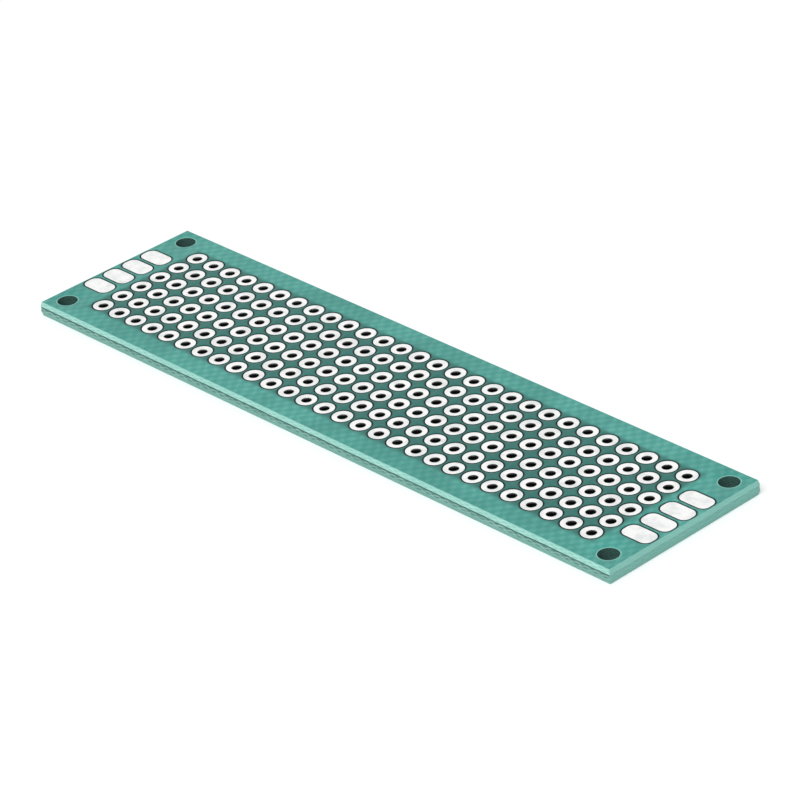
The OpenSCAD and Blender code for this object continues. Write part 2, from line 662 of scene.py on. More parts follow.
@dataclass(frozen=True)
class LaminateSlab:
    """The glass fibre slab: drilled faces inside, and a snapped edge all round.

    The web between the scores was torn. It is set back by its recess, which has one depth for the
    ends and one for the long sides. It begins at its two lines with a step, and comes forward
    again towards the lower one.
    """

    sizes: BoardSizes
    frame_w: float = 0.35 * MM
    fine: int = 3
    bevel_rows: int = 7
    web_rows: int = 12
    wall_rows: int = 5
    closed_share: float = 0.25
    sharp_deg: float = 32.0
    web_recess: tuple[float, float] = (0.015 * MM, 0.08 * MM)
    web_step: float = 0.12
    web_slope: float = 14.0
    web_lean: float = 0.75
    web_rough: float = 0.028 * MM
    most_proud: float = 0.5
    bevel_rough: float = 0.0025 * MM
    line_wander: float = 0.02 * MM
    line_reach: float = 0.09 * MM
    splinters: tuple[Grain, ...] = (Grain((3, 9), 0.6, 11), Grain((1.2, 2.5), 0.55, 12))
    tool_marks: Grain = Grain((1.0, 60), 1.0, 13)
    line_waves: tuple[Grain, ...] = (Grain((0, 14), 1.0, 14), Grain((0, 4), 0.5, 15))

    def section(self) -> Array:
        """Section of the edge from the top face down to the bottom face.

        Returns:
            One row of the distance outside the face's edge, the height, and how much of the
            point's place is web (1) or scored bevel (0).
        """
        s = self.sizes
        run = (s.length - s.face_length) / 2
        web_high, web_low = s.core_high - s.score_depth, s.core_low + s.score_depth
        down = np.linspace(0, 1, self.bevel_rows + 1)[:-1]
        web = np.linspace(0, 1, self.web_rows + 1)
        upper = np.column_stack([run * down, s.core_high + (web_high - s.core_high) * down, 0 * down])
        middle = np.column_stack([run + 0 * web, web_high + (web_low - web_high) * web, 1 + 0 * web])
        lower = upper[::-1] * (1, -1, 1) + (0, 2 * s.middle, 0)
        return np.concatenate([upper, middle, lower])

    def dents(self, out: Array, z: Array, web: Array, count: int) -> Array:
        """Depths by which the points of the edge are set back, at the ends and the long sides.

        The web's recess is multiplied by its step plus its slope times the way from the nearer
        line, at most 1, and by 1 less its lean times the way down. Splinters are added to it, and
        stand proud by a share of the ends' recess at most. The bevels have fine tool marks.

        Args:
            out: distance of each row outside the face's edge.
            z: height of each row.
            web: 1 for the rows of the web, else 0.
            count: number of points round the edge.

        Returns:
            Depths of shape rows, points, 2, for x and for y.
        """
        s = self.sizes
        shape = (len(out), count)
        ragged = sum(grain.on(shape) for grain in self.splinters)
        marks = np.abs(self.tool_marks.on(shape))
        depth = np.clip((s.middle + s.half_web - z) / (2 * s.half_web), 0, 1)
        inner = web * np.minimum(1, self.web_step + self.web_slope * np.minimum(depth, 1 - depth))
        lean = inner * (1 - self.web_lean * depth)
        proud = -self.most_proud * self.web_recess[0]
        rough = np.maximum(self.web_rough * inner[:, None] * ragged, proud)
        recess = np.multiply.outer(lean, self.web_recess)[:, None] + rough[..., None]
        scored = (out > 0) & (web == 0)
        return np.maximum(recess, 0) + (self.bevel_rough * scored[:, None] * marks)[..., None]

    def edge_points(self, shares: Array) -> Array:
        """The snapped edge as a grid: rows follow the section, columns go round the board.

        Along each axis a point is the face's share times the half size plus the section's
        distance, less its dent. The two lines between bevel and web wander up and down alike, by
        a noise that fades as exp(-(d / reach)^2) with the distance d from the line.

        Args:
            shares: x and y of the points round the face, as shares of its half sizes.

        Returns:
            Points of shape rows, columns, 3.
        """
        s = self.sizes
        out, z, web = self.section().T
        half = np.array([s.face_length / 2, s.face_width / 2])
        grow = np.where(np.abs(shares) > ON_OUTLINE, np.sign(shares), shares)
        dent = self.dents(out, z, web, len(shares))
        flat = shares * half + grow * (out[:, None, None] - dent)
        wander, _ = sum(grain.on((2, len(shares))) for grain in self.line_waves)
        from_line = np.abs(z - s.middle) - s.half_web
        near = np.exp(-((from_line / self.line_reach) ** 2)) * (out > 0)
        height = z[:, None] + self.line_wander * near[:, None] * wander
        return np.concatenate([flat, height[..., None]], -1)

    def build(self, finish: "Finish") -> bpy.types.Object:
        """Makes the slab in the place of its CAD node.

        A pad's tile has no hole: the small outline in its middle, a share of the pad's size with
        round ends, is closed with one face.

        Args:
            finish: what gives its material.

        Returns:
            The slab.
        """
        s = self.sizes
        plan = FacePlan(s, s.face_length / 2 - self.frame_w, s.face_width / 2 - self.frame_w)
        shell = Shell("laminate_slab")
        solder_holes = plan.hole_cells(Opening.circle(s.drill_r))
        mounting_holes = plan.corner_cells(Opening.circle(s.mount_r))
        closed_x, closed_y = s.pad_length * self.closed_share, s.pad_width * self.closed_share
        under_pads = plan.pad_cells(Opening(closed_x, closed_y, closed_y))
        for z, flip in ((s.core_high, False), (s.core_low, True)):
            for cell in solder_holes + mounting_holes:
                shell.add(*cell.rings([(0.0, z)], z), flip)
            for cell in under_pads:
                shell.add(*cell.rings([(0.0, z)], z), flip)
                points, _ = cell.rings([(0.0, z)], None)
                shell.add(points, np.arange(points.shape[1])[None], flip)
            shell.add(*plan.margin_patch(z), flip)
        for cells, rows in ((solder_holes, 1), (mounting_holes, self.wall_rows)):
            heights = np.linspace(s.core_low, s.core_high, rows + 1)
            for cell in cells:
                shell.add(*cell.rings([(0.0, z) for z in heights], None))
        self.add_edge(shell, plan)
        piece = shell.build(self.sharp_deg)
        place(piece, finish, "glass_fibre", ["laminate"])
        return piece

    def add_edge(self, shell: Shell, plan: FacePlan) -> None:
        """Adds the snapped edge and the flat frames that join it to both faces.

        Args:
            shell: the slab's shell.
            plan: the plan of its faces, whose outline the frames start from.
        """
        s = self.sizes
        coarse = plan.perimeter()
        after = np.roll(coarse, -1, 0)
        part = np.arange(self.fine)[None, :, None] / self.fine
        shares = (coarse[:, None] + (after - coarse)[:, None] * part).reshape(-1, 2)
        edge = self.edge_points(shares)
        rows, columns = edge.shape[:2]
        shell.add(edge.reshape(-1, 3), grid_faces(rows, columns, wrap=True))
        number = np.arange(len(coarse))
        following = (number + 1) % len(coarse)
        fine = (number[:, None] * self.fine + np.arange(self.fine + 1)[None]) % columns
        faces = np.column_stack([number, len(coarse) + fine, following])
        for row, z, flip in ((0, s.core_high, False), (-1, s.core_low, True)):
            inside = at_height(coarse * (plan.half_x, plan.half_y), z)
            shell.add(np.concatenate([inside, edge[row]]), faces, flip)


@dataclass(frozen=True)
class TinnedRow:
    """One row of plated holes: linings that spread into tinned rings, each a little different."""

    sizes: BoardSizes
    row: int
    around: int = 32
    turn_points: int = 3
    crown_steps: int = 4
    mouth: float = 0.08 * MM
    rim: float = 0.018 * MM
    sag: float = 0.018 * MM
    uneven: float = 0.6
    least_fill: float = 0.55
    first_seed: int = 100
    sharp_deg: float = 50.0

    def profile(self) -> tuple[Array, Array, Array]:
        """Upper half of a hole's section, from the end of its lining out to the drilled wall.

        The mouth and the rim are quarter circles, and the crown between them is flat here.

        Returns:
            For each point the radius, the height above the middle plane, and how far it takes
            part in the crown's rise, which is the root of 4 f (1 - f) at the share f across.
        """
        s = self.sizes
        tall = s.top - s.middle - self.sag
        core = s.core_high - s.middle
        turn = np.linspace(0, math.pi / 2, self.turn_points)
        mouth_r = s.hole_r + self.mouth * (1 - np.cos(turn))
        mouth_z = tall - self.mouth * (1 - np.sin(turn))
        share = np.arange(1, self.crown_steps) / self.crown_steps
        crown_r = s.hole_r + self.mouth + share * (s.ring_r - self.rim - s.hole_r - self.mouth)
        rim_r = s.ring_r - self.rim * (1 - np.sin(turn))
        rim_z = tall - self.rim * (1 - np.cos(turn))
        radius = [mouth_r, crown_r, rim_r, [s.ring_r, s.drill_r]]
        height = [mouth_z, tall + 0 * share, rim_z, [core, core]]
        rise = [0 * turn, np.sqrt(4 * share * (1 - share)), 0 * turn, [0.0, 0.0]]
        return np.concatenate(radius), np.concatenate(height), np.concatenate(rise)

    def loops(self) -> Array:
        """Loops of points round every hole of the row, which close on themselves in section.

        A ring's crown rises by sag times its share and the ring's own fill, times 1 less uneven
        times half of 1 + cos(angle - h), so each ring is lower towards its own direction h.

        Returns:
            Points of shape holes, loops, points round, 3.
        """
        s = self.sizes
        radius, height, lift = (part[None, :, None] for part in self.profile())
        random = np.random.default_rng(self.first_seed + self.row)
        thin = random.uniform(0, 2 * math.pi, (2, s.columns, 1, 1))
        fill = random.uniform(self.least_fill, 1.0, (2, s.columns, 1, 1))
        angle = full_turn(self.around)[None, None]
        x = s.column_x(np.arange(s.columns))[:, None, None] + radius * np.cos(angle)
        y = s.row_y(self.row) + radius * np.sin(angle)
        halves = []
        for side, sign in enumerate((1, -1)):
            share = 1 - self.uneven * (0.5 + 0.5 * np.cos(angle - thin[side]))
            z = s.middle + sign * (height + self.sag * lift * share * fill[side])
            half = np.stack(np.broadcast_arrays(x, y, z), -1)
            halves.append(half[:, ::-1] if sign < 0 else half)
        return np.concatenate(halves[::-1], axis=1)

    def build(self, finish: "Finish") -> bpy.types.Object:
        """Makes the row's rings and linings in the place of its CAD node.

        Args:
            finish: what gives its material.

        Returns:
            The row.
        """
        loops = self.loops()
        count = loops.shape[1]
        points = loops.reshape(self.sizes.columns, -1, 3)
        shell = Shell(f"tinned_row_{self.row + 1}")
        shell.add(points, grid_faces(count, self.around, wrap=True))
        around = np.arange(self.around)
        after = (around + 1) % self.around
        last = (count - 1) * self.around
        shell.add(points, np.column_stack([last + around, around, after, last + after]))
        piece = shell.build(self.sharp_deg)
        place(piece, finish, "tinned_copper", [f"plated_holes_row_{self.row + 1}"])
        return piece


@dataclass(frozen=True)
class TinnedPad:
    """One edge pad: a rounded rectangle of copper with a low, uneven crown of tin."""

    sizes: BoardSizes
    face: Face
    end: End
    number: int
    around: int = 56
    turn_points: int = 4
    inner_loops: tuple[float, ...] = (0.95, 0.9, 0.82, 0.7, 0.55, 0.38, 0.2)
    sag: float = 0.016 * MM
    sag_power: int = 5
    rim: float = 0.02 * MM
    most_lean: float = 0.3
    lean_share: float = 0.35
    first_seed: int = 500
    right_seeds: int = 10
    top_seeds: int = 20
    sharp_deg: float = 50.0

    @property
    def seed(self) -> int:
        """Seed of the pad's own random draws."""
        right, top = self.end is End.RIGHT, self.face is Face.TOP
        return self.first_seed + self.number + self.right_seeds * right + self.top_seeds * top

    def profile(self) -> tuple[Array, Array]:
        """Section of the pad from its foot over the rim, a quarter circle, to the middle.

        Returns:
            For each loop the share of the outline that it has, and its height.
        """
        s = self.sizes
        tall = s.top - s.core_high
        turn = np.linspace(math.pi / 2, 0, self.turn_points)
        rim_f = 1 - self.rim * (1 - np.sin(turn)) / (s.pad_width / 2)
        rim_z = tall - self.rim * (1 - np.cos(turn))
        f = np.concatenate([[1.0], rim_f, self.inner_loops])
        z = np.concatenate([[0.0], rim_z, np.full(len(self.inner_loops), tall)])
        return f, z

    def loops(self) -> Array:
        """Loops of points from the foot over the rim to the middle, as they lie on the top face.

        Loop k is the outline scaled by the k-th share f. Its height is the section's, less sag
        times f to its power, less a gentle slope of its own.

        Returns:
            Points of shape loops, points round, 3.
        """
        s = self.sizes
        angle = full_turn(self.around)
        ray = np.stack([np.cos(angle) * s.pad_length, np.sin(angle) * s.pad_width], -1)
        outline = Opening(s.pad_length / 2, s.pad_width / 2, s.pad_corner).rim(ray)
        f, z = self.profile()
        lean = np.random.default_rng(self.seed).uniform(-self.most_lean, self.most_lean, 2)
        flat = outline[None] * f[:, None, None]
        tilt = (flat / (s.pad_length / 2)) @ lean
        slope = self.sag * self.lean_share * np.abs(tilt) * (f < 1)[:, None]
        drop = self.sag * (f**self.sag_power)[:, None] + slope
        height = z[:, None] - drop * (z > 0)[:, None]
        centre = np.array([self.end.value * s.pad_x, s.row_y(self.number)])
        return np.concatenate([flat + centre, (s.core_high + height)[..., None]], -1)

    def build(self, finish: "Finish") -> bpy.types.Object:
        """Makes the pad in the place of its CAD node, turned over where that is below.

        Args:
            finish: what gives its material.

        Returns:
            The pad.
        """
        under = self.face is Face.BOTTOM
        loops = self.sizes.turned_over(self.loops()) if under else self.loops()
        disc = np.arange(self.around)[None]
        node = f"edge_pad_{self.face.value}_{self.end.name.lower()}_{self.number}"
        shell = Shell(f"{node}_tinned")
        wall = grid_faces(len(loops), self.around, wrap=True)
        shell.add(loops.reshape(-1, 3), wall, flip=not under)
        shell.add(loops[-1], disc, flip=under)
        shell.add(loops[0], disc, flip=not under)
        piece = shell.build(self.sharp_deg)
        place(piece, finish, "tinned_copper", [node])
        return piece


class Value:
    """A number that varies over a surface: a node's output with operators for shader maths."""

    def __init__(self, book: "NodeBook", socket: Any) -> None:
        """Wraps one output socket of a material's tree."""
        self.book = book
        self.socket = socket

    def _math(self, operation: str, *values: Any) -> "Value":
        """Adds one Math node on the given values."""
        node = self.book.node("ShaderNodeMath", {"operation": operation}, *values)
        return Value(self.book, node.outputs[0])

    def __add__(self, other: Any) -> "Value":
        """Sum."""
        return self._math("ADD", self, other)

    def __sub__(self, other: Any) -> "Value":
        """Difference."""
        return self._math("SUBTRACT", self, other)

    def __mul__(self, other: Any) -> "Value":
        """Product."""
        return self._math("MULTIPLY", self, other)

    def __truediv__(self, other: Any) -> "Value":
        """Quotient."""
        return self._math("DIVIDE", self, other)

    __radd__ = __add__
    __rmul__ = __mul__

    def __rsub__(self, other: Any) -> "Value":
        """A number less this value."""
        return self._math("SUBTRACT", other, self)

    def abs(self) -> "Value":
        """Size without sign."""
        return self._math("ABSOLUTE", self)

    def sin(self) -> "Value":
        """Sine, in radians."""
        return self._math("SINE", self)

    def sqrt(self) -> "Value":
        """Square root."""
        return self._math("SQRT", self)

    def fract(self) -> "Value":
        """What is left over a whole number."""
        return self._math("FRACT", self)

    def larger(self, other: Any) -> "Value":
        """The larger of two."""
        return self._math("MAXIMUM", self, other)

    def smaller(self, other: Any) -> "Value":
        """The smaller of two."""
        return self._math("MINIMUM", self, other)

    def length(self, other: "Value") -> "Value":
        """Length across two sides at a right angle, the root of the sum of their squares."""
        return (self * self + other * other).sqrt()

    def ramp(self, zero: float, one: float, start: float = 0.0) -> "Value":
        """Smooth rise from 0 at one value to 1 at another, or a fall where the first is larger.

        Args:
            zero: value at which the result is 0, counted from the start.
            one: value at which it is 1, counted from the start.
            start: value from which both are counted.

        Returns:
            The result, as 3 t^2 - 2 t^3 with t the clipped share of the way.
        """
        low, high = sorted((start + zero, start + one))
        settings = {"interpolation_type": "SMOOTHSTEP"}
        node = self.book.node("ShaderNodeMapRange", settings, self, low, high, 0.0, 1.0)
        rise = Value(self.book, node.outputs[0])
        return rise if zero < one else 1 - rise


class NodeBook:
    """One material's node tree, with a single method that adds any kind of node."""

    def __init__(self, tree: bpy.types.NodeTree) -> None:
        """Takes a tree and empties it."""
        self.tree = tree
        tree.nodes.clear()

    def node(self, kind: str, settings: dict[str, Any] | None = None, *values: Any, **named: Any) -> Any:
        """Adds a node.

        Args:
            kind: Blender's name for the node's type.
            settings: its properties, which are set before any socket.
            *values: values or links of its sockets in order. None leaves a socket as it is.
            **named: values or links of its sockets by name, with _ for a space.

        Returns:
            The node.
        """
        node = self.tree.nodes.new(kind)
        for key, value in (settings or {}).items():
            setattr(node, key, value)
        sockets = [(node.inputs[i], v) for i, v in enumerate(values) if v is not None]
        sockets += [(node.inputs[k.replace("_", " ")], v) for k, v in named.items()]
        for socket, value in sockets:
            source = value.socket if isinstance(value, Value) else value
            if isinstance(source, bpy.types.NodeSocket):
                self.tree.links.new(source, socket)
            else:
                socket.default_value = source
        return node

    def place(self, kind: str = "Object") -> tuple[Any, Value, Value, Value]:
        """A point in the coordinates of one kind.

        Args:
            kind: the coordinates: Object is the point on the piece in metres, and Generated is
                the direction in which a ray leaves, in a world.

        Returns:
            The point as a vector, and its x, y and z.
        """
        vector = self.node("ShaderNodeTexCoord").outputs[kind]
        split = self.node("ShaderNodeSeparateXYZ", None, vector)
        return vector, *(Value(self, out) for out in split.outputs)

    def blend(self, share: Any, first: Any, second: Any) -> Any:
        """Colour between two.

        Args:
            share: share of the second colour, from 0 to 1.
            first: the first colour.
            second: the second colour.

        Returns:
            The socket with the colour.
        """
        settings = {"data_type": "RGBA", "clamp_factor": True}
        other_types = [None] * 5
        return self.node("ShaderNodeMix", settings, share, *other_types, first, second).outputs[2]

    def bump(self, height: Value, depth: float) -> Any:
        """Surface normal of a height from 0 to 1 that stands for a depth in metres."""
        return self.node("ShaderNodeBump", None, Height=height, Distance=depth, Strength=1.0).outputs[0]

    def surface(self, shader: Any) -> None:
        """Ends the tree in a shader."""
        self.node("ShaderNodeOutputMaterial", None, shader.outputs[0])


@dataclass(frozen=True)
class Noise:
    """A cloudy noise: its largest features in metres, its finer layers and how it is squeezed."""

    size: float
    layers: float = 3.0
    layer_strength: float = 0.55
    squeeze: tuple[float, float, float] | None = None

    def read(self, book: NodeBook, point: Any) -> Value:
        """The noise at a point, from 0 to 1.

        Args:
            book: the tree that it is added to.
            point: the point, whose axes are multiplied by the squeeze first.

        Returns:
            The noise.
        """
        if self.squeeze is not None:
            multiply = {"operation": "MULTIPLY"}
            point = book.node("ShaderNodeVectorMath", multiply, point, self.squeeze).outputs[0]
        found = book.node("ShaderNodeTexNoise", {"noise_dimensions": "3D"}, Vector=point,
                          Scale=1 / self.size, Detail=self.layers, Roughness=self.layer_strength)
        return Value(book, found.outputs[0])


def paint(red: int, green: int, blue: int) -> Colour:
    """Colour for a shader, from its screen values.

    Each value c of 255 becomes c/12.92 up to 0.04045 and ((c + 0.055)/1.055)^2.4 above it.

    Args:
        red: red from 0 to 255.
        green: green from 0 to 255.
        blue: blue from 0 to 255.

    Returns:
        The colour in linear light with full alpha.
    """
    levels = [c / 255 for c in (red, green, blue)]
    return (*(c / 12.92 if c <= 0.04045 else ((c + 0.055) / 1.055) ** 2.4 for c in levels), 1.0)


@dataclass(frozen=True)
class Finish:
    """A surface finish, made into a material once for all the pieces that ask."""

    name: str
    sizes: BoardSizes

    def material(self) -> bpy.types.Material:
        """The finish's material, made when it is first asked for.

        Returns:
            The material.
        """
        found = bpy.data.materials.get(self.name)
        if found is None:
            found = bpy.data.materials.new(self.name)
            found.use_nodes = True
            book = NodeBook(found.node_tree)
            book.surface(self.shader(book))
        return found

    def shader(self, book: NodeBook) -> Any:
        """The node that ends the finish, which each finish adds in its own way."""
        raise NotImplementedError


@dataclass(frozen=True)
class MaskFinish(Finish):
    """Green solder mask: satin film with the glass cloth showing through, and painted shade at openings.

    A share is how far a tint is mixed in at most, and a span is where its mask goes from 0 to 1.
    """

    open_green: Colour = paint(66, 157, 146)
    pale_green: Colour = paint(112, 190, 176)
    pale_share: float = 0.56
    deep_green: Colour = paint(38, 122, 112)
    deep_share: float = 0.4
    # Painted shade: the mask is darker across the field of holes, among the rings.
    field_green: Colour = paint(24, 96, 88)
    field_share: float = 0.8
    field_span: Span = (0.3 * MM, -0.5 * MM)
    # Painted shade: near-black green round every ring and pad opening, where shade falls into the gap.
    lip_green: Colour = paint(2, 40, 37)
    lip_share: float = 0.95
    lip_span: Span = (0.16 * MM, -0.06 * MM)
    chipped: Colour = paint(150, 214, 202)
    chip_share: float = 0.7
    chip_span: Span = (0.09 * MM, 0.05 * MM)
    chip_ragged: float = 0.1 * MM
    thread_x: float = 0.58 * MM
    thread_y: float = 0.79 * MM
    wobble: Noise = Noise(2.2 * MM, 2.0)
    wobble_reach: float = 0.9 * MM
    fibres: Noise = Noise(0.35 * MM, 4.0, 0.6, (1, 3, 1))
    clouds: Noise = Noise(6 * MM)
    cloud_span: Span = (0.35, 0.65)
    weave_cloth: float = 0.42
    weave_span: Span = (0.3, 0.8)
    relief_cloth: float = 0.65
    relief: float = 0.014 * MM
    rough: float = 0.3
    rough_fibres: float = 0.12
    rough_span: Span = (0.2, 0.8)
    specular: float = 0.25

    @staticmethod
    def off_line(value: Value, pitch: float, count: int) -> Value:
        """Distance to the nearest of some evenly spaced lines that are centred on 0."""
        folded = ((value / pitch + count % 2 * 0.5).fract() - 0.5).abs() * pitch
        return folded.larger(value.abs() - (count - 1) / 2 * pitch)

    def from_opening(self, x: Value, y: Value) -> Value:
        """Distance to the nearest ring or edge pad.

        A ring is a circle: the length of (dx, dy) less its radius. A pad is a rounded
        rectangle: the length of what dx and dy exceed its straight sides by, less its corner.

        Args:
            x: x on the board.
            y: y on the board.

        Returns:
            The distance in metres, which is negative inside.
        """
        s = self.sizes
        dx, dy = self.off_line(x, s.pitch, s.columns), self.off_line(y, s.pitch, s.rows)
        ring = dx.length(dy) - s.ring_r
        px = ((x.abs() - s.pad_x).abs() - (s.pad_length / 2 - s.pad_corner)).larger(0.0)
        py = (self.off_line(y, s.pitch, s.end_pads) - (s.pad_width / 2 - s.pad_corner)).larger(0.0)
        return ring.smaller(px.length(py) - s.pad_corner)

    def cloth(self, book: NodeBook, point: Any, x: Value, y: Value) -> Value:
        """The glass cloth under the film: 0.5 + 0.5 sin(pi (x + w) / a) sin(pi (y + w) / b).

        Args:
            book: the tree that it is added to.
            point: the point on the piece.
            x: its x.
            y: its y.

        Returns:
            The cloth from 0 to 1, with a and b its threads' widths and w a noise.
        """
        wobble = self.wobble.read(book, point) * self.wobble_reach
        warp = ((x + wobble) * (math.pi / self.thread_x)).sin()
        weft = ((y + wobble) * (math.pi / self.thread_y)).sin()
        return warp * weft * 0.5 + 0.5

    def shader(self, book: NodeBook) -> Any:
        """Tints the green by cloth, clouds and chips, and paints shade among rings and at openings.

        Args:
            book: the tree that it is added to.

        Returns:
            The node that ends the finish.
        """
        s = self.sizes
        point, x, y, _ = book.place()
        cloth = self.cloth(book, point, x, y)
        fibres = self.fibres.read(book, point)
        clouds = self.clouds.read(book, point).ramp(*self.cloud_span)
        weave = (cloth * self.weave_cloth + fibres * (1 - self.weave_cloth)).ramp(*self.weave_span)
        beyond = (x.abs() - s.field_x).larger(y.abs() - s.field_y)
        # lip is the mask of the painted shade round each opening, from inside the gap to a little way
        # out.
        lip = self.from_opening(x, y).ramp(*self.lip_span, s.mask_gap)
        inset = (s.face_length / 2 - x.abs()).smaller(s.face_width / 2 - y.abs())
        chip = (inset + fibres * self.chip_ragged).ramp(*self.chip_span)
        green = book.blend(weave * self.pale_share, self.open_green, self.pale_green)
        green = book.blend(clouds * self.deep_share, green, self.deep_green)
        # Painted shade: darker green across the field of holes, where beyond is below 0.
        green = book.blend(beyond.ramp(*self.field_span) * self.field_share, green, self.field_green)
        # Painted shade: near-black green round every opening.
        green = book.blend(lip * self.lip_share, green, self.lip_green)
        green = book.blend(chip * self.chip_share, green, self.chipped)
        shade = fibres.ramp(*self.rough_span) * self.rough_fibres + self.rough
        lift = cloth * self.relief_cloth + fibres * (1 - self.relief_cloth)
        return book.node("ShaderNodeBsdfPrincipled", None, Base_Color=green, Roughness=shade,
                         Specular_IOR_Level=self.specular, Normal=book.bump(lift, self.relief))


@dataclass(frozen=True)
class CutGlass:
    """What shows at a point of the laminate.

    That is its grain and its patches, how much of a bundle and of an end is seen there, and how
    far the point belongs to a long side.
    """

    grain: Value
    patches: Value
    bundles: Value
    ends: Value
    on_long: Value


@dataclass(frozen=True)
class LaminateFinish(Finish):
    """Cut glass fibre: pale bundles that wave through every ply, and dark ends of those across.

    A share is how far a tint is mixed in at most, and a span is where its mask goes from 0 to 1.
    The board's ends are plainer than its long sides. Its lower bevel, web line, gaps and walls get
    painted shade.
    """

    bevel: Colour = paint(192, 242, 231)
    resin: Colour = paint(142, 203, 191)
    plain: Colour = paint(136, 199, 187)
    web: Colour = paint(172, 216, 206)
    torn: Colour = paint(104, 154, 144)
    # Dark colour of the ends of the bundles across the web, and of the painted shade under its upper
    # line.
    hollow: Colour = paint(38, 74, 68)
    # Painted shade: bare laminate in the gap round a ring or pad is painted near black.
    gap: Colour = paint(4, 38, 35)
    # Dark base of the drilled walls, which is painted shade inside the holes.
    wall: Colour = paint(40, 58, 54)
    plain_share: float = 0.75
    plies: int = 8
    ply_wobble: float = 0.5
    ply_shift: float = 2.4
    bundle: float = 0.6 * MM
    bundle_wobble: float = 0.5 * MM
    bundle_wave: float = 0.24
    bundle_span: Span = (0.34, 0.12)
    end_span: Span = (0.28, 0.12)
    peak_span: Span = (0.03, 0.15)
    wobble: Noise = Noise(1.3 * MM, squeeze=(1, 1, 0.3))
    grain: Noise = Noise(0.12 * MM, 4.0, 0.65, (1, 1, 2.5))
    grain_span: Span = (0.3, 0.7)
    grain_ragged: float = 0.06 * MM
    patches: Noise = Noise(2.2 * MM, 3.0, 0.6)
    patch_span: Span = (0.25, 0.7)
    patch_ragged: float = 0.08 * MM
    edge_span: Span = (-0.3 * MM, -0.22 * MM)
    mitre_span: Span = (-0.05 * MM, 0.05 * MM)
    web_span: Span = (0.02 * MM, -0.03 * MM)
    line_span: Span = (-0.26 * MM, -0.08 * MM)
    lower_span: Span = (0.1 * MM, -0.1 * MM)
    torn_span: Span = (0.4, 0.95)
    face_span: Span = (-0.03 * MM, -0.005 * MM)
    mount_span: Span = (0.4 * MM, 0.3 * MM)
    wall_span: Span = (0.3, 0.75)
    bevel_bundle_share: float = 0.5
    bevel_grain_share: float = 0.5
    bevel_end_share: float = 0.3
    lower_share: float = 0.5
    web_bundle_share: float = 0.5
    web_grain_share: float = 0.9
    web_end_share: float = 0.5
    line_share: float = 0.85
    wall_bundle_share: float = 0.08
    wall_grain_share: float = 0.55
    relief: float = 0.02 * MM
    relief_grain: float = 0.8
    relief_bundles: float = 0.15
    relief_ends: float = 0.05
    rough: float = 0.5
    rough_grain: float = 0.25
    specular: float = 0.08

    def cloth(self, along: Value, z: Value, wobble: Value) -> tuple[Value, Value]:
        """Bundles of the woven plies where a cut shows them.

        In every ply the bundles along the cut follow a sine. Those across it end on the cut, on
        the other side of the ply's middle, as lenses that are thickest where the sine peaks.

        Args:
            along: distance along the cut.
            z: height.
            wobble: noise about 0 that makes the plies uneven.

        Returns:
            How much of a bundle along the cut is seen, and how much of an end.
        """
        s = self.sizes
        ply = (z - s.core_low) * (self.plies / (s.core_high - s.core_low)) + wobble * self.ply_wobble
        place = ply.fract()
        number = ply - place
        angle = (along + wobble * self.bundle_wobble) * (math.pi / self.bundle) + number * self.ply_shift
        wave = angle.sin() * self.bundle_wave
        level = place - 0.5
        bundles = (level + wave).abs().ramp(*self.bundle_span)
        ends = (level - wave).abs().ramp(*self.end_span) * wave.abs().ramp(*self.peak_span)
        return bundles, ends

    def scored(self, book: NodeBook, cut: CutGlass, up: Value) -> Any:
        """Colour of the scored bevels: resin with pale bundles, and painted shade on the lower bevel.

        Args:
            book: the tree that it is added to.
            cut: what shows at the point.
            up: height above the middle plane.

        Returns:
            The socket with the colour.
        """
        bundles = cut.bundles * cut.patches.ramp(*self.patch_span) * self.bevel_bundle_share
        pale = bundles + cut.grain * self.bevel_grain_share
        ends = cut.ends * cut.grain.ramp(*self.grain_span) * self.bevel_end_share
        # Painted shade: the lower bevel, which faces down, is darkened towards the torn colour.
        lower = up.ramp(*self.lower_span) * self.lower_share
        colour = book.blend(pale, self.resin, self.bevel)
        colour = book.blend(ends + lower, colour, self.torn)
        return book.blend((1 - cut.on_long) * self.plain_share, colour, self.plain)

    def snapped(self, book: NodeBook, cut: CutGlass, height: Value) -> Any:
        """Colour of the torn web: pale bundles, dark bundle ends, and painted shade under the upper
        line.

        Args:
            book: the tree that it is added to.
            cut: what shows at the point.
            height: height above the middle plane, made ragged.

        Returns:
            The socket with the colour.
        """
        bundles = cut.bundles * cut.patches * self.web_bundle_share
        pale = (bundles + cut.grain * self.web_grain_share).ramp(*self.torn_span)
        ends = cut.ends * cut.grain.ramp(*self.grain_span) * self.web_end_share * cut.on_long
        # Painted shade: a dark band at the top of the web, under the upper bevel's overhang.
        line = height.ramp(*self.line_span, self.sizes.half_web)
        colour = book.blend(pale, self.torn, self.web)
        colour = book.blend(ends, colour, self.hollow)
        colour = book.blend((1 - cut.on_long) * self.plain_share, colour, self.plain)
        return book.blend(line * cut.on_long * self.line_share, colour, self.hollow)

    def inside(self, book: NodeBook, cut: CutGlass, x: Value, y: Value, off: Value) -> Any:
        """Colour away from the edge: drilled walls, and faces that show where the mask is open.

        Bare rings round mounting holes are plain; painted shade darkens ring and pad gaps and drilled
        walls.

        Args:
            book: the tree that it is added to.
            cut: what shows at the point.
            x: x on the board.
            y: y on the board.
            off: distance from the middle plane.

        Returns:
            The socket with the colour.
        """
        s = self.sizes
        grain = cut.grain.ramp(*self.wall_span) * self.wall_grain_share
        pale = grain + cut.bundles * self.wall_bundle_share
        from_mount = (x.abs() - s.mount_x).length(y.abs() - s.mount_y)
        by_mount = from_mount.ramp(*self.mount_span, s.mount_r)
        on_face = off.ramp(*self.face_span, s.half_core)
        # The drilled walls' dark base is painted shade inside the holes.
        drilled = book.blend(pale, self.wall, self.torn)
        # Painted shade in the gaps round rings and pads; the bare ring round a mounting hole is plain.
        bare = book.blend(by_mount, self.gap, self.plain)
        return book.blend(on_face, drilled, bare)

